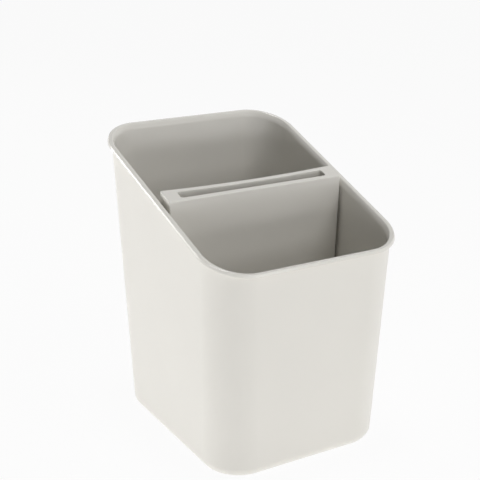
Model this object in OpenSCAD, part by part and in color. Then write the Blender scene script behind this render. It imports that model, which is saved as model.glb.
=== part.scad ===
// Cutlery drainer. A tall container with rounded corners and one sloped rim holds a drain grid
// on short legs. A divider with a knife slot stands on the grid, between two rails.
// Millimetres. +Z is up, +Y is the tall back. The origin is under the middle of the whole part.

/* [Container] */
// Outside width of the base, before its edge is rounded
base_w = 105; // [90:1:125]
// Outside depth of the base, before its edge is rounded
base_d = 125; // [105:1:150]
// Height of the rim over the middle of the base
rim_h = 142.6; // [110:0.2:180]
// Slope of the rim, in degrees, rising to the back
rim_slope = 19.3; // [8:0.1:24]
// Lean of the left and right walls, in degrees
side_draft = 1.94; // [0.5:0.02:3]
// Lean of the front and back walls, in degrees
end_draft = 3.02; // [0.5:0.02:4]
// Outside radius of the upright corners
corner_r = 21.4; // [14:0.2:28]
// Outside radius of the edge around the base
base_r = 6.5; // [4:0.1:9]
// Thickness of the walls
wall = 1.8; // [1.2:0.1:2.6]
// Thickness of the floor
floor_t = 2; // [1.4:0.1:4]
// How far the lip stands out from the walls
lip_out = 2.3; // [0.8:0.1:3]
// Height of the lip, square to the rim
lip_h = 1.8; // [1.6:0.1:5]
// Height of the ring that the base stands on
foot_h = 1; // [0.4:0.1:2]
// Width of the ring that the base stands on
foot_w = 5; // [3:0.5:10]

/* [Divider] */
// Thickness of the divider, front to back
divider_t = 9.8; // [8:0.1:14]
// Middle of the divider, measured from the middle of the base
divider_y = -5.2; // [-12:0.1:8]
// How far the divider's top stands above the rim
divider_rise = 3.2; // [0:0.1:8]
// Gap between the divider's ends and the walls, level with the rim
divider_gap = 1.2; // [0.5:0.1:3]
// Gap between the divider's ends and the walls at its foot, wider so that it drops in freely
divider_foot_gap = 2.2; // [1:0.1:3]
// Radius of the divider's top and upright edges
divider_edge_r = 1; // [0.6:0.1:2.4]
// Length of the knife slot
knife_l = 92; // [60:1:94]
// Width of the knife slot
knife_w = 4.8; // [4.2:0.1:5.6]
// Radius in the corners of the knife slot
knife_r = 1.5; // [0.5:0.1:2]

/* [Drain grid] */
// Thickness of the grid
grid_t = 2; // [1.4:0.1:3]
// Gap between the grid's edge and the walls
grid_gap = 0.8; // [0.4:0.1:2]
// Height of the space for water under the grid
sump_h = 10; // [6:0.5:20]
// Diameter of each leg
leg_d = 8; // [5:0.5:10]
// Least gap from a leg to the rounded edge of the floor, or to a drain slot
leg_gap = 0.5; // [0.3:0.1:2]
// Width of each drain slot
drain_w = 4; // [2.5:0.1:5]
// Length of each drain slot
drain_l = 9; // [6:0.5:18]
// Web of plastic between drain slots
drain_web = 4.2; // [3:0.1:8]
// Solid margin inside the grid's edge
grid_margin = 5; // [3:0.5:8]
// Height of the rails that hold the divider's foot
rail_h = 10; // [6:0.5:16]
// Thickness of the rails
rail_t = 1.6; // [1.2:0.1:2.4]
// Length of grid left bare past each end of the rails
rail_bare = 7; // [3:0.5:12]
// Radius of the rails' upper corners
rail_r = 4; // [1:0.5:5]
// Running gap between the divider's foot and the rails
rail_gap = 0.3; // [0.2:0.05:0.6]

/* [Hidden] */
$fn = 64;

// Horizontal growth of the walls for each millimetre of height
side_lean = tan(side_draft);
end_lean = tan(end_draft);
// Height above the whole part, and size of the blocks that trim it
clear_z = 2 * rim_h;
reach = 2 * (base_w + base_d + rim_h);
// Overlap of solids past the faces that they open or fill
over = 1;
// Share of its radius by which a rounded edge crosses the faces that it blends
edge_bite = 0.004;

// Heights of the floor, the grid's underside and the seat of the divider
floor_z = foot_h + floor_t;
grid_z = floor_z + sump_h;
seat_z = grid_z + grid_t;

// Half sizes of the outside walls, and of the walls inset square to their faces
function half_w(z, inset = 0) = base_w / 2 + side_lean * z - inset / cos(side_draft);
function half_d(z, inset = 0) = base_d / 2 + end_lean * z - inset / cos(end_draft);
// Lean of the upright corners, and their middles at a height
corner_tilt = atan(norm([side_lean, end_lean]));
corner_turn = atan2(end_lean, side_lean);
corner_in = corner_r * (1 - edge_bite);
function corner_x(z) = half_w(z) - corner_in / cos(side_draft);
function corner_y(z) = half_d(z) - corner_in / cos(end_draft);
// Size to the hundredth of a millimetre, so that solids made side by side share one plane
function hundredth(size) = round(100 * size) / 100;
// Height of a plane that lies a given rise above the rim
function rim_z(y, rise = 0) = rim_h + rise + tan(rim_slope) * y;

// The tall back leans out further than the front, so the base sits ahead of the middle
lip_reach = base_d / 2 + lip_out / cos(end_draft) + end_lean * rim_h;
lip_back_y = lip_reach / (1 - end_lean * tan(rim_slope));
lip_front_y = -lip_reach / (1 + end_lean * tan(rim_slope));
base_y = -(lip_back_y + lip_front_y) / 2;

// Plan of the grid, sized where it is closest to the walls
grid_hw = half_w(grid_z, wall) - grid_gap;
grid_hd = half_d(grid_z, wall) - grid_gap;
grid_r = corner_r - wall - grid_gap;
bend_x = grid_hw - grid_r;
bend_y = grid_hd - grid_r;
// The corner legs stand as far out as the rounded edge of the floor allows
leg_out = (corner_r - base_r - leg_d / 2 - leg_gap) * sin(45);
leg_x = bend_x + leg_out;
leg_y = bend_y + leg_out;
rail_y = divider_t / 2 + rail_gap + rail_t / 2;

// The divider's ends lean a little more than the side walls, from the wider gap at its foot
divider_lean = side_lean + (divider_foot_gap - divider_gap) / (rim_h - seat_z);
divider_draft = atan(divider_lean);
function divider_hw(z) = half_w(seat_z, wall) - divider_foot_gap + divider_lean * (z - seat_z);

// Rectangle with round corners, given by its half sizes
module round_rect(hx, hy, r) {
    square([2 * hx, 2 * (hy - r)], center = true);
    square([2 * (hx - r), 2 * hy], center = true);
    for (sx = [-1, 1], sy = [-1, 1])
        translate([sx * (hx - r), sy * (hy - r)])
            circle(r);
}

// Face with two leaning sides, from its low edge up to the clear height
module leaning_face(half_low, low, half_high) {
    polygon([[-half_low, low], [half_low, low], [half_high, clear_z], [-half_high, clear_z]]);
}

// Places its children at one corner and mirrors them to the other three
module at_corners() {
    for (sx = [0, 1], sy = [0, 1])
        mirror([sx, 0, 0])
            mirror([0, sy, 0])
                children();
}

// Block with four leaning walls that stand outside the base by the given amounts
module leaning_box(out_x, out_y) {
    low = -over;
    intersection() {
        rotate([90, 0, 0])
            linear_extrude(reach, center = true)
                leaning_face(half_w(low) + out_x, low, half_w(clear_z) + out_x);
        rotate([90, 0, 90])
            linear_extrude(reach, center = true)
                leaning_face(half_d(low) + out_y, low, half_d(clear_z) + out_y);
    }
}

// Leaning block with round upright corners. The corner cylinders lean with both walls.
module leaning_form(inset) {
    past = over - inset;
    intersection() {
        leaning_box(-inset / cos(side_draft), -inset / cos(end_draft));
        union() {
            leaning_box(corner_x(0) - half_w(0), past);
            leaning_box(past, corner_y(0) - half_d(0));
            at_corners()
                translate([corner_x(0), corner_y(0), 0])
                    rotate([0, corner_tilt, corner_turn])
                        translate([0, 0, -corner_r])
                            cylinder(r = corner_r - inset, h = corner_r + clear_z);
        }
    }
}

// Everything above a floor with a rounded edge. The corners of the floor turn about the
// given middles, and the rounded edge runs at a given radius from them.
module above_round_floor(middle_x, middle_y, run_r, edge_r) {
    translate([-reach / 2, -reach / 2, edge_r])
        cube(reach);
    linear_extrude(edge_r + over)
        round_rect(middle_x + run_r, middle_y + run_r, run_r);
    for (s = [-1, 1]) {
        translate([0, s * (middle_y + run_r), edge_r])
            rotate([0, 90, 0])
                cylinder(r = edge_r, h = 2 * middle_x, center = true);
        translate([s * (middle_x + run_r), 0, edge_r])
            rotate([90, 0, 0])
                cylinder(r = edge_r, h = 2 * middle_y, center = true);
    }
    at_corners()
        translate([middle_x, middle_y, edge_r])
            rotate_extrude(angle = 90)
                translate([run_r, 0])
                    circle(edge_r);
}

// Inside or outside of the container, open to the top
module tub(inset, bottom) {
    edge_r = hundredth(base_r - inset);
    level_r = (corner_r - inset) / cos(corner_tilt);
    run_r = hundredth(level_r - edge_r * (1 - edge_bite));
    meet = bottom + edge_r;
    intersection() {
        leaning_form(inset);
        translate([0, 0, bottom])
            above_round_floor(hundredth(corner_x(meet)), hundredth(corner_y(meet)), run_r, edge_r);
    }
}

// Layer of the given thickness, with its top a given rise above the sloped plane of the rim
module rim_layer(thickness, rise = 0) {
    translate([0, 0, rim_h + rise])
        rotate([rim_slope, 0, 0])
            translate([-reach / 2, -reach / 2, -thickness])
                cube([reach, reach, thickness]);
}

// Slot along X with round ends
module round_slot(length, width) {
    square([length - width, width], center = true);
    for (s = [-1, 1])
        translate([s * (length - width) / 2, 0])
            circle(d = width);
}

module container() {
    color([0.89, 0.88, 0.85])
        translate([0, base_y, 0])
            difference() {
                union() {
                    intersection() {
                        tub(0, 0);
                        rim_layer(reach / 2);
                    }
                    intersection() {
                        leaning_form(-lip_out);
                        rim_layer(lip_h);
                    }
                }
                tub(wall, floor_z);
                translate([0, 0, -over])
                    linear_extrude(foot_h + over)
                        round_rect(base_w / 2 - base_r - foot_w, base_d / 2 - base_r - foot_w,
                                   corner_r - base_r - foot_w);
            }
}

// True where a drain slot stays inside the grid's margin and clear of the legs
function drain_fits(x, y) =
    let (
        out_x = max(0, abs(x) + drain_w / 2 - bend_x),
        out_y = max(0, abs(y) + drain_l / 2 - bend_y),
        near_x = abs(abs(x) - leg_x) < (leg_d + drain_w) / 2 + leg_gap,
        near_y = abs(abs(y) - leg_y) < (leg_d + drain_l) / 2 + leg_gap
    )
    norm([out_x, out_y]) <= grid_r - grid_margin && !(near_x && near_y);

// Rows of drain slots that fill the grid from one depth to another
module drain_field(y_low, y_high) {
    rows = floor((y_high - y_low + drain_web) / (drain_l + drain_web));
    row_pitch = (y_high - y_low + drain_web) / rows;
    columns = floor((grid_hw - grid_margin - drain_w / 2) / (drain_w + drain_web));
    for (row = [0 : rows - 1], column = [-columns : columns]) {
        x = column * (drain_w + drain_web);
        y = y_low + (row + 0.5) * row_pitch - drain_web / 2;
        if (drain_fits(x, y))
            translate([x, y])
                rotate(90)
                    round_slot(drain_l, drain_w);
    }
}

// Drain slots that lie under the knife slot
module knife_drains() {
    pitch = drain_l + drain_web;
    columns = floor((leg_x - leg_d / 2 - drain_l / 2) / pitch);
    for (column = [-columns : columns])
        translate([column * pitch, divider_y])
            round_slot(drain_l, drain_w);
}

// One rail with round upper corners, seen from the front
module rail_face() {
    half = grid_hw - rail_bare;
    translate([-half, 0])
        square([2 * half, rail_h - rail_r]);
    translate([rail_r - half, 0])
        square([2 * (half - rail_r), rail_h]);
    for (s = [-1, 1])
        translate([s * (half - rail_r), rail_h - rail_r])
            circle(rail_r);
}

module drain_grid() {
    rail_band = rail_y + rail_t / 2 + drain_web;
    color([0.84, 0.83, 0.8])
        translate([0, base_y, 0]) {
            translate([0, 0, grid_z])
                linear_extrude(grid_t)
                    difference() {
                        round_rect(grid_hw, grid_hd, grid_r);
                        drain_field(divider_y + rail_band, grid_hd - grid_margin);
                        drain_field(grid_margin - grid_hd, divider_y - rail_band);
                        knife_drains();
                    }
            for (s = [-1, 1])
                translate([0, divider_y + s * rail_y, seat_z])
                    rotate([90, 0, 0])
                        linear_extrude(rail_t, center = true)
                            rail_face();
            for (x = [-leg_x, leg_x], y = [-leg_y, divider_y, leg_y])
                translate([x, y, floor_z])
                    cylinder(d = leg_d, h = sump_h);
        }
}

// Bar along X that rounds the divider's two top edges, where its sloped top meets its faces
module divider_bar() {
    r = divider_edge_r;
    axis_in = r * (1 - edge_bite);
    drop = axis_in / cos(rim_slope);
    front = divider_y - divider_t / 2 + axis_in;
    back = divider_y + divider_t / 2 - axis_in;
    front_axis = [front, rim_z(front, divider_rise) - drop];
    back_axis = [back, rim_z(back, divider_rise) - drop];
    past_top = (r + over) * [-sin(rim_slope), cos(rim_slope)];
    past_face = [r + over, 0];
    rotate([90, 0, 90])
        linear_extrude(reach, center = true)
            polygon([
                [(front_axis - past_face)[0], seat_z],
                front_axis - past_face,
                front_axis,
                front_axis + past_top,
                back_axis + past_top,
                back_axis,
                back_axis + past_face,
                [(back_axis + past_face)[0], seat_z]
            ]);
    for (axis = [front_axis, back_axis])
        translate([0, axis[0], axis[1]])
            rotate([0, 90, 0])
                cylinder(r = r, h = reach, center = true);
}

// Upright block with the divider's leaning ends, cut short at each end and made thicker by the
// given amounts
module divider_block(short_x, thicker) {
    low = seat_z - over;
    translate([0, divider_y, 0])
        rotate([90, 0, 0])
            linear_extrude(divider_t + 2 * thicker, center = true)
                leaning_face(divider_hw(low) - short_x, low, divider_hw(clear_z) - short_x);
}

// Divider's block with round upright edges, which lean with its ends
module divider_form() {
    r = divider_edge_r;
    axis_in = r * (1 - edge_bite);
    axis_in_x = axis_in / cos(divider_draft);
    intersection() {
        divider_block(0, 0);
        union() {
            divider_block(axis_in_x, over);
            divider_block(-over, -axis_in);
            for (sx = [0, 1], sy = [-1, 1])
                mirror([sx, 0, 0])
                    translate([divider_hw(0) - axis_in_x,
                               divider_y + sy * (divider_t / 2 - axis_in), 0])
                        rotate([0, divider_draft, 0])
                            cylinder(r = r, h = clear_z);
        }
    }
}

module divider() {
    color([0.86, 0.85, 0.82])
        translate([0, base_y, 0])
            difference() {
                intersection() {
                    divider_bar();
                    divider_form();
                    rim_layer(reach / 2, divider_rise);
                }
                translate([0, divider_y, 0])
                    linear_extrude(reach)
                        round_rect(knife_l / 2, knife_w / 2, knife_r);
            }
}

container();
drain_grid();
divider();
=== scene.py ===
"""Looks of the cutlery drainer: a moulded container, a divider with a knife slot and a drain grid.

Shapes are worked out in millimetres in the frame's axes and become meshes in metres.
Their main sizes repeat those of the part's solids, and the finer rounds are added here.
"""

import math

import bmesh
import bpy
from mathutils import Matrix, Vector

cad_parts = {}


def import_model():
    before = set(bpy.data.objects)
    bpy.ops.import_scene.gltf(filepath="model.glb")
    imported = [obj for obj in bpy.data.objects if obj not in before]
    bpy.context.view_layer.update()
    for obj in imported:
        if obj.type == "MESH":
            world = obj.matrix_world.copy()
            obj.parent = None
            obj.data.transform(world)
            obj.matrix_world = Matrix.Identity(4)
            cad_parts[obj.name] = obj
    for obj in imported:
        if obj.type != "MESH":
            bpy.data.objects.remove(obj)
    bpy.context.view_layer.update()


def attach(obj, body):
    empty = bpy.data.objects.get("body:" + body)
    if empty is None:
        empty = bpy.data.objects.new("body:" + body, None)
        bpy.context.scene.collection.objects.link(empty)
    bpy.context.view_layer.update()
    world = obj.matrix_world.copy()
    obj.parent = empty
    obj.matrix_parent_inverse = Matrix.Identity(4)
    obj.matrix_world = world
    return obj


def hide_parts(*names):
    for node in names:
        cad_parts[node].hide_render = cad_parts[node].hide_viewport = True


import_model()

# Sizes of the container
MM = 0.001
BASE_W = 105.0
BASE_D = 125.0
RIM_H = 142.6
RIM_SLOPE = math.radians(19.3)
SIDE_LEAN = math.tan(math.radians(1.94))
END_LEAN = math.tan(math.radians(3.02))
CORNER_R = 21.4
BASE_R = 6.5
WALL = 1.8
FLOOR_Z = 3.0
LIP_OUT = 2.3
LIP_H = 1.8
LIP_TILT = math.radians(22)
LIP_TOP_R = 0.5
LIP_LOW_R = 0.3
LIP_ROOT_R = 0.2
INNER_EDGE_R = 0.8
INNER_FLARE_R = 7.5
INNER_FLARE = math.radians(30)
FOOT_H = 1.0
FOOT_W = 5.0
FOOT_EDGE_R = 0.3
CAP_R = 3.0

# Sizes of the divider
DIVIDER_T = 9.8
DIVIDER_Y = -5.2
DIVIDER_RISE = 3.2
DIVIDER_GAP = 1.2
DIVIDER_FOOT_GAP = 2.2
DIVIDER_EDGE_R = 0.6
DIVIDER_CORNER_R = 0.7
DIVIDER_FOOT_R = 0.4
BACK_BOW = 1.8
BACK_BOW_MIDDLE = 0.5
KNIFE_L = 92.0
KNIFE_W = 4.8
KNIFE_R = 1.5
KNIFE_EDGE_R = 0.3

# Sizes of the drain grid
GRID_T = 2.0
GRID_GAP = 0.8
GRID_EDGE_R = 0.4
SUMP_H = 10.0
LEG_D = 8.0
LEG_GAP = 0.5
LEG_EDGE_R = 1.0
LEG_CAP_R = 1.0
DRAIN_W = 4.0
DRAIN_L = 9.0
DRAIN_WEB = 4.2
GRID_MARGIN = 5.0
RAIL_H = 10.0
RAIL_T = 1.6
RAIL_BARE = 7.0
RAIL_R = 4.0
RAIL_GAP = 0.3

# Steps along the rounds, and distances at which points count as one
FINE_STEPS = 3
FOOT_STEPS = 4
EDGE_STEPS = 5
DRAIN_STEPS = 6
RAIL_STEPS = 8
FLOOR_STEPS = 10
BASE_STEPS = 12
GRID_STEPS = 16
LEG_STEPS = 32
PLATE_BEVEL_STEPS = 2
SAME_POINT = GRID_EDGE_R / 10
WELD = GRID_EDGE_R / 100

# Heights and places that follow from the sizes
SLOPE = math.tan(RIM_SLOPE)
GRID_Z = FLOOR_Z + SUMP_H
SEAT_Z = GRID_Z + GRID_T
DIVIDER_LEAN = SIDE_LEAN + (DIVIDER_FOOT_GAP - DIVIDER_GAP) / (RIM_H - SEAT_Z)
LIP_REACH = BASE_D / 2 + LIP_OUT + END_LEAN * RIM_H
BASE_Y = -LIP_REACH * END_LEAN * SLOPE / (1 - (END_LEAN * SLOPE) ** 2)


def half_w(z):
    """Half of the container's outside width at a height."""
    return BASE_W / 2 + SIDE_LEAN * z


def half_d(z):
    """Half of the container's outside depth at a height."""
    return BASE_D / 2 + END_LEAN * z


# Rounded rectangles and lofts

CORNERS = ((1, 1), (-1, 1), (-1, -1), (1, -1))


def stations(corner_steps, side_steps):
    """Stations round a rounded rectangle: shares of its corner middles, and directions out."""
    found = []
    for quarter, (sx, sy) in enumerate(CORNERS):
        next_x, next_y = CORNERS[(quarter + 1) % 4]
        for step in range(corner_steps + 1):
            turn = math.pi / 2 * (quarter + step / corner_steps)
            found.append((sx, sy, math.cos(turn), math.sin(turn)))
        turn = math.pi / 2 * (quarter + 1)
        for step in range(1, side_steps):
            share = step / side_steps
            fx = sx + (next_x - sx) * share
            fy = sy + (next_y - sy) * share
            found.append((fx, fy, math.cos(turn), math.sin(turn)))
    return found


def arc(middle, radius, start, end, steps):
    """Points along an arc of a profile, between two angles in degrees."""
    points = []
    for step in range(steps + 1):
        turn = math.radians(start + (end - start) * step / steps)
        points.append((middle[0] + radius * math.cos(turn), middle[1] + radius * math.sin(turn)))
    return points


def between(low, high, bands):
    """Rings between two rings, with both left out."""
    rings = []
    for band in range(1, bands):
        share = band / bands
        rings.append([a.lerp(b, share) for a, b in zip(low, high)])
    return rings


def loft(bm, rings, materials=None, closed=False):
    """Skin over rings of points, with a material for each band.

    A closed loft joins the last ring to the first, and others get caps.
    """
    rows = [[bm.verts.new(point) for point in ring] for ring in rings]
    above = rows[1:] + rows[:1] if closed else rows[1:]
    indices = materials or [0] * len(above)
    count = len(rows[0])
    for index, low, high in zip(indices, rows, above):
        for i in range(count):
            j = (i + 1) % count
            face = bm.faces.new((low[i], low[j], high[j], high[i]))
            face.material_index = index
    if not closed:
        first = bm.faces.new(list(reversed(rows[0])))
        last = bm.faces.new(rows[-1])
        first.material_index = indices[0]
        last.material_index = indices[-1]


def mesh_object(name, bm):
    """Object made of a bmesh in millimetres, smooth, with normals that follow the flats."""
    bmesh.ops.recalc_face_normals(bm, faces=bm.faces)
    bmesh.ops.scale(bm, vec=(MM, MM, MM), verts=bm.verts)
    for face in bm.faces:
        face.smooth = True
    mesh = bpy.data.meshes.new(name)
    bm.to_mesh(mesh)
    bm.free()
    obj = bpy.data.objects.new(name, mesh)
    bpy.context.scene.collection.objects.link(obj)
    weighted = obj.modifiers.new("flat_normals", "WEIGHTED_NORMAL")
    weighted.weight = 100
    return obj


# Container

OUTSIDE, INSIDE = 0, 1
TUB_STATIONS = stations(corner_steps=24, side_steps=10)
WALL_BANDS = 12


def wall_point(station, out, z):
    """Point on a wall that stands out from the container's outside by the given amount."""
    fx, fy, ux, uy = station
    r = CORNER_R + out
    x = fx * (half_w(z) - CORNER_R) + ux * r
    y = fy * (half_d(z) - CORNER_R) + uy * r
    return Vector((x, y + BASE_Y, z))


def rim_point(station, out, rise):
    """Point of such a wall at a rise above the rim.

    The rim slopes round the wall but is level across it.
    """
    _, fy, _, uy = station
    y_low = fy * (BASE_D / 2 - CORNER_R) + uy * CORNER_R
    z = (RIM_H + SLOPE * y_low) / (1 - SLOPE * fy * END_LEAN)
    return wall_point(station, out, z + rise)


def lip_profile():
    """Profile of the lip's outer edge, whose face tilts up between a lower and an upper round."""
    tilt = math.degrees(LIP_TILT)
    low = (LIP_OUT - LIP_LOW_R, LIP_LOW_R - LIP_H)
    rise = LIP_H - LIP_LOW_R - LIP_TOP_R
    back = (rise * math.sin(LIP_TILT) + LIP_TOP_R - LIP_LOW_R) / math.cos(LIP_TILT)
    high = (low[0] - back, -LIP_TOP_R)
    lower = arc(low, LIP_LOW_R, 270, 360 + tilt, EDGE_STEPS)
    upper = arc(high, LIP_TOP_R, tilt, 90, EDGE_STEPS)
    return lower + upper


def inner_edge_profile():
    """Profile of the rim's inner edge: a small round, then a slight flare down to the wall."""
    turn = 180 - math.degrees(INNER_FLARE)
    reach = INNER_FLARE_R - INNER_EDGE_R
    edge = (INNER_FLARE_R - WALL - reach * math.cos(INNER_FLARE), -INNER_EDGE_R)
    flare = (INNER_FLARE_R - WALL, edge[1] - reach * math.sin(INNER_FLARE))
    small_round = arc(edge, INNER_EDGE_R, 90, turn, EDGE_STEPS)
    return small_round + arc(flare, INNER_FLARE_R, turn, 180, EDGE_STEPS)[1:]


def container():
    """Container with its lip, standing ring and rounded edges."""
    recess = -(BASE_R + FOOT_W)
    edge_r = FOOT_EDGE_R
    inner_r = BASE_R - WALL
    cap_out = CAP_R - CORNER_R
    base_profile = [(cap_out, FOOT_H)]
    base_profile += arc((recess - edge_r, FOOT_H - edge_r), edge_r, 90, 0, FINE_STEPS)
    base_profile += arc((recess + edge_r, edge_r), edge_r, 180, 270, FINE_STEPS)
    base_profile += arc((-BASE_R, BASE_R), BASE_R, 270, 360, BASE_STEPS)
    root = arc((LIP_ROOT_R, -LIP_H - LIP_ROOT_R), LIP_ROOT_R, 180, 90, EDGE_STEPS)
    rim_profile = root + lip_profile() + inner_edge_profile()
    floor_profile = arc((-BASE_R, FLOOR_Z + inner_r), inner_r, 360, 270, FLOOR_STEPS)
    floor_profile += [(cap_out, FLOOR_Z)]

    base_rings = [[wall_point(s, *at) for s in TUB_STATIONS] for at in base_profile]
    rim_rings = [[rim_point(s, *at) for s in TUB_STATIONS] for at in rim_profile]
    floor_rings = [[wall_point(s, *at) for s in TUB_STATIONS] for at in floor_profile]
    outside_rings = base_rings + between(base_rings[-1], rim_rings[0], WALL_BANDS)
    inside_rings = between(rim_rings[-1], floor_rings[0], WALL_BANDS) + floor_rings
    rings = outside_rings + rim_rings + inside_rings
    lip_start = len(outside_rings) + len(root) - 1
    materials = [OUTSIDE if band < lip_start else INSIDE for band in range(len(rings) - 1)]

    bm = bmesh.new()
    loft(bm, rings, materials)
    return mesh_object("container_shell", bm)


# Divider

DIVIDER_STATIONS = stations(corner_steps=8, side_steps=16)
DIVIDER_BANDS = 10


def slab_point(station, half_x, half_y, r, z, lean=0.0):
    """Point on an upright rounded block about the divider's middle, whose ends may lean.

    The back bows: from the foot up, its ends drift back and its middle drifts to the front.
    """
    fx, fy, ux, uy = station
    x = fx * (half_x + lean * z - r) + ux * r
    y = fy * (half_y - r) + uy * r
    bow = BACK_BOW * (x / half_w(z)) ** 2 - BACK_BOW_MIDDLE
    y += bow * (fy + 1) / 2 * max(0.0, z - SEAT_Z) / (RIM_H - SEAT_Z)
    return Vector((x, y + DIVIDER_Y + BASE_Y, z))


def slab_top(station, half_x, half_y, r, drop, lean=0.0):
    """Point of such a block at a drop below the divider's sloped top, square to it."""
    flat = slab_point(station, half_x, half_y, r, RIM_H, lean)
    top = RIM_H + DIVIDER_RISE + SLOPE * (flat.y - BASE_Y)
    return slab_point(station, half_x, half_y, r, top - drop / math.cos(RIM_SLOPE), lean)


def divider():
    """Divider with its sloped top, rounded edges and the knife slot through it."""
    end_x = half_w(SEAT_Z) - WALL - DIVIDER_FOOT_GAP - DIVIDER_LEAN * SEAT_Z
    side_y = DIVIDER_T / 2
    foot_r = DIVIDER_FOOT_R
    top_r = DIVIDER_EDGE_R
    mouth_r = KNIFE_EDGE_R

    def outer(inset, z=None, drop=None):
        sizes = (end_x - inset, side_y - inset, DIVIDER_CORNER_R - inset)
        if z is None:
            return [slab_top(s, *sizes, drop, DIVIDER_LEAN) for s in DIVIDER_STATIONS]
        return [slab_point(s, *sizes, z, DIVIDER_LEAN) for s in DIVIDER_STATIONS]

    def slot(wider, z=None, drop=None):
        sizes = (KNIFE_L / 2 + wider, KNIFE_W / 2 + wider, KNIFE_R + wider)
        if z is None:
            return [slab_top(s, *sizes, drop) for s in DIVIDER_STATIONS]
        return [slab_point(s, *sizes, z) for s in DIVIDER_STATIONS]

    foot_profile = arc((-foot_r, SEAT_Z + foot_r), foot_r, 270, 360, FOOT_STEPS)
    top_profile = arc((-top_r, -top_r), top_r, 0, 90, EDGE_STEPS)
    mouth_profile = arc((mouth_r, -mouth_r), mouth_r, 90, 180, FOOT_STEPS)
    end_profile = arc((foot_r, SEAT_Z + foot_r), foot_r, 180, 270, FOOT_STEPS)
    foot = [outer(-out, z=z) for out, z in foot_profile]
    top = [outer(-out, drop=-rise) for out, rise in top_profile]
    mouth = [slot(out, drop=-rise) for out, rise in mouth_profile]
    end = [slot(out, z=z) for out, z in end_profile]

    rings = foot + between(foot[-1], top[0], DIVIDER_BANDS) + top
    rings += mouth + between(mouth[-1], end[0], DIVIDER_BANDS) + end
    bm = bmesh.new()
    loft(bm, rings, closed=True)
    return mesh_object("divider_block", bm)


# Drain grid

GRID_HALF_W = half_w(GRID_Z) - WALL - GRID_GAP
GRID_HALF_D = half_d(GRID_Z) - WALL - GRID_GAP
GRID_R = CORNER_R - WALL - GRID_GAP
BEND_X = GRID_HALF_W - GRID_R
BEND_Y = GRID_HALF_D - GRID_R
LEG_OUT = (CORNER_R - BASE_R - LEG_D / 2 - LEG_GAP) * math.sin(math.radians(45))
LEG_X = BEND_X + LEG_OUT
LEG_Y = BEND_Y + LEG_OUT
RAIL_Y = DIVIDER_T / 2 + RAIL_GAP + RAIL_T / 2


def round_rect(half_x, half_y, r, corner_steps):
    """Outline of a rounded rectangle."""
    outline = []
    for fx, fy, ux, uy in stations(corner_steps, 1):
        outline.append((fx * (half_x - r) + ux * r, fy * (half_y - r) + uy * r))
    return outline


def round_slot(x, y, half_x, half_y):
    """Outline of a slot with round ends about a point."""
    r = min(half_x, half_y)
    outline = []
    for px, py in round_rect(half_x, half_y, r, DRAIN_STEPS):
        point = (x + px, y + py)
        if not outline or math.dist(point, outline[-1]) > SAME_POINT:
            outline.append(point)
    return outline


def drain_fits(x, y):
    """True where a drain slot stays inside the grid's margin and clear of the legs."""
    out_x = max(0.0, abs(x) + DRAIN_W / 2 - BEND_X)
    out_y = max(0.0, abs(y) + DRAIN_L / 2 - BEND_Y)
    near_x = abs(abs(x) - LEG_X) < (LEG_D + DRAIN_W) / 2 + LEG_GAP
    near_y = abs(abs(y) - LEG_Y) < (LEG_D + DRAIN_L) / 2 + LEG_GAP
    return math.hypot(out_x, out_y) <= GRID_R - GRID_MARGIN and not (near_x and near_y)


def drain_field(y_low, y_high):
    """Outlines of the rows of drain slots between two depths."""
    span = y_high - y_low + DRAIN_WEB
    rows = math.floor(span / (DRAIN_L + DRAIN_WEB))
    columns = math.floor((GRID_HALF_W - GRID_MARGIN - DRAIN_W / 2) / (DRAIN_W + DRAIN_WEB))
    outlines = []
    for row in range(rows):
        y = y_low + (row + 0.5) * span / rows - DRAIN_WEB / 2
        for column in range(-columns, columns + 1):
            x = column * (DRAIN_W + DRAIN_WEB)
            if drain_fits(x, y):
                outlines.append(round_slot(x, y, DRAIN_W / 2, DRAIN_L / 2))
    return outlines


def knife_drains():
    """Outlines of the drain slots that lie under the knife slot."""
    pitch = DRAIN_L + DRAIN_WEB
    columns = math.floor((LEG_X - LEG_D / 2 - DRAIN_L / 2) / pitch)
    places = [column * pitch for column in range(-columns, columns + 1)]
    return [round_slot(x, DIVIDER_Y, DRAIN_L / 2, DRAIN_W / 2) for x in places]


def rail_outline():
    """Outline of a rail with round upper corners, seen from the front."""
    half = GRID_HALF_W - RAIL_BARE
    sunk = GRID_T / 2
    outline = [(-half, -sunk), (half, -sunk)]
    outline += arc((half - RAIL_R, RAIL_H - RAIL_R), RAIL_R, 0, 90, RAIL_STEPS)
    outline += arc((RAIL_R - half, RAIL_H - RAIL_R), RAIL_R, 90, 180, RAIL_STEPS)
    return outline


def plate(bm, outlines, thickness, edge_r, place):
    """Adds a plate with rounded edges, drawn in its own plane and then put in place."""
    curve = bpy.data.curves.new("plate_outline", "CURVE")
    curve.dimensions = "2D"
    curve.fill_mode = "BOTH"
    curve.extrude = thickness / 2 - edge_r
    curve.bevel_depth = edge_r
    curve.bevel_resolution = PLATE_BEVEL_STEPS
    curve.offset = -edge_r
    for outline in outlines:
        spline = curve.splines.new("POLY")
        spline.points.add(len(outline) - 1)
        spline.use_cyclic_u = True
        for point, (x, y) in zip(spline.points, outline):
            point.co = (x, y, 0, 1)
    drawn = bpy.data.objects.new("plate_outline", curve)
    bpy.context.scene.collection.objects.link(drawn)
    bpy.context.view_layer.update()
    shape = drawn.evaluated_get(bpy.context.evaluated_depsgraph_get()).to_mesh()
    shape.transform(place)
    bm.from_mesh(shape)
    bpy.data.objects.remove(drawn)
    bpy.data.curves.remove(curve)


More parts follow.
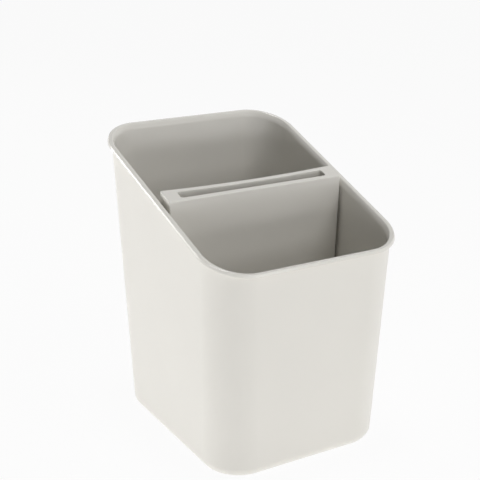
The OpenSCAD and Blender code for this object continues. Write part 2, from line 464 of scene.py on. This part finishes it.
def leg(bm, x, y):
    """Adds a round leg with a rounded foot."""
    r = LEG_D / 2
    profile = [(LEG_CAP_R, 0.0)]
    profile += arc((r - LEG_EDGE_R, LEG_EDGE_R), LEG_EDGE_R, 270, 360, EDGE_STEPS)
    profile += [(r, SUMP_H), (r, SUMP_H + GRID_T / 2)]
    turns = [math.tau * step / LEG_STEPS for step in range(LEG_STEPS)]
    rings = []
    for out, z in profile:
        rings.append([(x + out * math.cos(t), y + out * math.sin(t), FLOOR_Z + z) for t in turns])
    loft(bm, rings)


def drain_grid():
    """Drain grid with its slots, two rails and six legs."""
    band = RAIL_Y + RAIL_T / 2 + DRAIN_WEB
    outlines = [round_rect(GRID_HALF_W, GRID_HALF_D, GRID_R, GRID_STEPS)]
    outlines += drain_field(DIVIDER_Y + band, GRID_HALF_D - GRID_MARGIN)
    outlines += drain_field(GRID_MARGIN - GRID_HALF_D, DIVIDER_Y - band)
    outlines += knife_drains()
    middle = Matrix.Translation((0, BASE_Y, GRID_Z + GRID_T / 2))
    upright = Matrix.Rotation(math.pi / 2, 4, "X")
    bm = bmesh.new()
    plate(bm, outlines, GRID_T, GRID_EDGE_R, middle)
    for side in (-1, 1):
        place = Matrix.Translation((0, BASE_Y + DIVIDER_Y + side * RAIL_Y, SEAT_Z))
        plate(bm, [rail_outline()], RAIL_T, GRID_EDGE_R, place @ upright)
    for x in (-LEG_X, LEG_X):
        for y in (-LEG_Y, DIVIDER_Y, LEG_Y):
            leg(bm, x, y + BASE_Y)
    bmesh.ops.remove_doubles(bm, verts=bm.verts, dist=WELD)
    return mesh_object("drain_grid_moulding", bm)


# Materials

WARM_GREY = (0.77, 0.75, 0.70)
PLASTIC_IOR = 1.5
TONE_LOW = 0.975
TONE_HIGH = 1.02
GLOSS_SPREAD = 0.15
RIPPLE_STRENGTH = 0.35
RIPPLE_DEPTH = 0.25 * MM
SKIN_DEPTH = 0.02 * MM

# Scale of each noise, in waves to the metre, and its detail
TONE_NOISE = (22, 3)
GLOSS_NOISE = (140, 4)
RIPPLE_NOISE = (45, 1)
SKIN_NOISE = (3200, 2)


def moulded_plastic(name, colour, roughness, grain):
    """Moulded plastic: a slightly uneven tone, a grained skin and a gentle ripple in its gloss."""
    material = bpy.data.materials.new(name)
    material.use_nodes = True
    nodes = material.node_tree.nodes
    links = material.node_tree.links
    shader = nodes["Principled BSDF"]
    shader.inputs["IOR"].default_value = PLASTIC_IOR
    place = nodes.new("ShaderNodeTexCoord")

    def noise(scale, detail):
        node = nodes.new("ShaderNodeTexNoise")
        node.inputs["Scale"].default_value = scale
        node.inputs["Detail"].default_value = detail
        links.new(place.outputs["Object"], node.inputs["Vector"])
        return node.outputs["Fac"]

    tone = nodes.new("ShaderNodeMix")
    tone.data_type = "RGBA"
    tone.inputs["A"].default_value = (*[TONE_LOW * c for c in colour], 1)
    tone.inputs["B"].default_value = (*[TONE_HIGH * c for c in colour], 1)
    links.new(noise(*TONE_NOISE), tone.inputs["Factor"])
    links.new(tone.outputs["Result"], shader.inputs["Base Color"])

    gloss = nodes.new("ShaderNodeMapRange")
    gloss.inputs["To Min"].default_value = roughness * (1 - GLOSS_SPREAD)
    gloss.inputs["To Max"].default_value = roughness * (1 + GLOSS_SPREAD)
    links.new(noise(*GLOSS_NOISE), gloss.inputs["Value"])
    links.new(gloss.outputs["Result"], shader.inputs["Roughness"])

    ripple = nodes.new("ShaderNodeBump")
    ripple.inputs["Strength"].default_value = RIPPLE_STRENGTH
    ripple.inputs["Distance"].default_value = RIPPLE_DEPTH
    links.new(noise(*RIPPLE_NOISE), ripple.inputs["Height"])
    skin = nodes.new("ShaderNodeBump")
    skin.inputs["Strength"].default_value = grain
    skin.inputs["Distance"].default_value = SKIN_DEPTH
    links.new(noise(*SKIN_NOISE), skin.inputs["Height"])
    links.new(ripple.outputs["Normal"], skin.inputs["Normal"])
    links.new(skin.outputs["Normal"], shader.inputs["Normal"])
    return material


outside = moulded_plastic("container_satin", WARM_GREY, roughness=0.34, grain=0.35)
inside = moulded_plastic("container_gloss", WARM_GREY, roughness=0.13, grain=0.05)
divider_skin = moulded_plastic("divider_gloss", WARM_GREY, roughness=0.13, grain=0.05)
grid_skin = moulded_plastic("grid_satin", WARM_GREY, roughness=0.28, grain=0.2)

# Pieces, on their bodies

PIECES = (
    (container(), "container", "container_plastic", (outside, inside)),
    (divider(), "divider", "divider_plastic", (divider_skin,)),
    (drain_grid(), "drain_grid", "grid_plastic", (grid_skin,)),
)
for piece, node, slot_name, skins in PIECES:
    for skin in skins:
        piece.data.materials.append(skin)
    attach(piece, node)
    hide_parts(node)


# Camera, with its places in metres and its lens and sensor in millimetres

EYE = Vector((-0.2863, -0.4820, 0.2957))
LOOK_AT = Vector((-0.0076, -0.0042, 0.1119))
LENS = 78.65
SENSOR = 36

scene = bpy.context.scene
scene.view_settings.view_transform = "Standard"


def facing(place):
    """Rotation of a camera or light that looks from a place at the object."""
    return (LOOK_AT - Vector(place)).to_track_quat("-Z", "Y").to_euler()


camera_data = bpy.data.cameras.new("camera")
camera_data.lens = LENS
camera_data.sensor_width = SENSOR
camera = bpy.data.objects.new("camera", camera_data)
camera.location = EYE
camera.rotation_euler = facing(EYE)
scene.collection.objects.link(camera)
scene.camera = camera


# Floor and world

WHITE = (1, 1, 1, 1)
FLOOR_PAINT = (0.9, 0.9, 0.9, 1)
FLOOR_SIZE = 12.0

# Share of an even white in the floor as it is seen, and that white's level
FLOOR_WHITE = 0.94
FLOOR_SEEN = 0.96

# Level at which the floor lights the walls from below
FLOOR_GLOW = 0.55

# Levels of the surroundings' light from the left and from the right
FILL_LEFT = 0.0
FILL_RIGHT = 0.5


def seen_directly(nodes, links):
    """Socket that is 1 for camera, glossy and transmission rays, and 0 for the rest."""
    path = nodes.new("ShaderNodeLightPath")
    total = path.outputs["Is Camera Ray"]
    for ray in ("Is Glossy Ray", "Is Transmission Ray"):
        either = nodes.new("ShaderNodeMath")
        either.operation = "MAXIMUM"
        links.new(total, either.inputs[0])
        links.new(path.outputs[ray], either.inputs[1])
        total = either.outputs["Value"]
    return total


def floor():
    """Pale floor that looks white, keeps a faint shadow and lights the walls from below."""
    bpy.ops.mesh.primitive_plane_add(size=FLOOR_SIZE)
    plane = bpy.context.object
    plane.name = "floor"
    material = bpy.data.materials.new("floor_white")
    material.use_nodes = True
    nodes = material.node_tree.nodes
    links = material.node_tree.links
    nodes.clear()
    paint = nodes.new("ShaderNodeBsdfDiffuse")
    paint.inputs["Color"].default_value = FLOOR_PAINT
    bounce = nodes.new("ShaderNodeEmission")
    bounce.inputs["Strength"].default_value = FLOOR_GLOW
    lit = nodes.new("ShaderNodeAddShader")
    links.new(paint.outputs["BSDF"], lit.inputs[0])
    links.new(bounce.outputs["Emission"], lit.inputs[1])
    even = nodes.new("ShaderNodeEmission")
    even.inputs["Strength"].default_value = FLOOR_SEEN
    share = nodes.new("ShaderNodeMath")
    share.operation = "MULTIPLY"
    share.inputs[1].default_value = FLOOR_WHITE
    links.new(seen_directly(nodes, links), share.inputs[0])
    mix = nodes.new("ShaderNodeMixShader")
    links.new(share.outputs["Value"], mix.inputs["Fac"])
    links.new(lit.outputs["Shader"], mix.inputs[1])
    links.new(even.outputs["Emission"], mix.inputs[2])
    output = nodes.new("ShaderNodeOutputMaterial")
    links.new(mix.outputs["Shader"], output.inputs["Surface"])
    plane.data.materials.append(material)


def world():
    """White surroundings that add a soft fill, which grows from the left to the right."""
    surroundings = bpy.data.worlds.new("white_studio")
    surroundings.use_nodes = True
    nodes = surroundings.node_tree.nodes
    links = surroundings.node_tree.links
    nodes.clear()
    way = nodes.new("ShaderNodeTexCoord")
    axes = nodes.new("ShaderNodeSeparateXYZ")
    links.new(way.outputs["Generated"], axes.inputs["Vector"])
    level = nodes.new("ShaderNodeMapRange")
    level.inputs["From Min"].default_value = -1
    level.inputs["To Min"].default_value = FILL_LEFT
    level.inputs["To Max"].default_value = FILL_RIGHT
    links.new(axes.outputs["X"], level.inputs["Value"])
    fill = nodes.new("ShaderNodeBackground")
    links.new(level.outputs["Result"], fill.inputs["Strength"])
    white = nodes.new("ShaderNodeBackground")
    for node in (fill, white):
        node.inputs["Color"].default_value = WHITE
    mix = nodes.new("ShaderNodeMixShader")
    links.new(seen_directly(nodes, links), mix.inputs["Fac"])
    links.new(fill.outputs["Background"], mix.inputs[1])
    links.new(white.outputs["Background"], mix.inputs[2])
    output = nodes.new("ShaderNodeOutputWorld")
    links.new(mix.outputs["Shader"], output.inputs["Surface"])
    scene.world = surroundings


# Lights: low ones for the outer walls, edge and back ones for the lip, top and key for the inside

LOW_Z = 0.045
LOW_H = 0.08

# Name, place, width and height in metres, power in watts, and whether gloss mirrors the light
SOFTBOXES = (
    ("left_softbox", (-1.0, 0.32, LOW_Z), 0.8, LOW_H, 3.4, False),
    ("right_softbox", (0.57, -1.17, LOW_Z), 0.9, LOW_H, 0.8, False),
    ("front_softbox", (-0.78, -0.92, LOW_Z), 0.5, LOW_H, 0.5, False),
    ("edge_softbox", (-0.82, 0.76, 0.31), 0.45, 0.14, 1.18, True),
    ("front_edge_softbox", (0.2, -1.2, 0.42), 0.9, 0.2, 1.3, True),
    ("back_softbox", (-0.35, 1.05, 0.55), 1.3, 0.5, 1.0, True),
    ("top_softbox", (0.0, 0.0, 1.2), 0.3, 0.3, 3.6, True),
    ("key_softbox", (0.45, -0.75, 0.95), 0.5, 0.5, 2.0, False),
)


def softbox(name, place, width, height, power, mirrored):
    """Soft light that faces the object."""
    light = bpy.data.lights.new(name, "AREA")
    light.shape = "RECTANGLE"
    light.size = width
    light.size_y = height
    light.energy = power
    lamp = bpy.data.objects.new(name, light)
    lamp.location = place
    lamp.rotation_euler = facing(place)
    lamp.visible_camera = False
    lamp.visible_glossy = mirrored
    scene.collection.objects.link(lamp)


floor()
world()
for settings in SOFTBOXES:
    softbox(*settings)
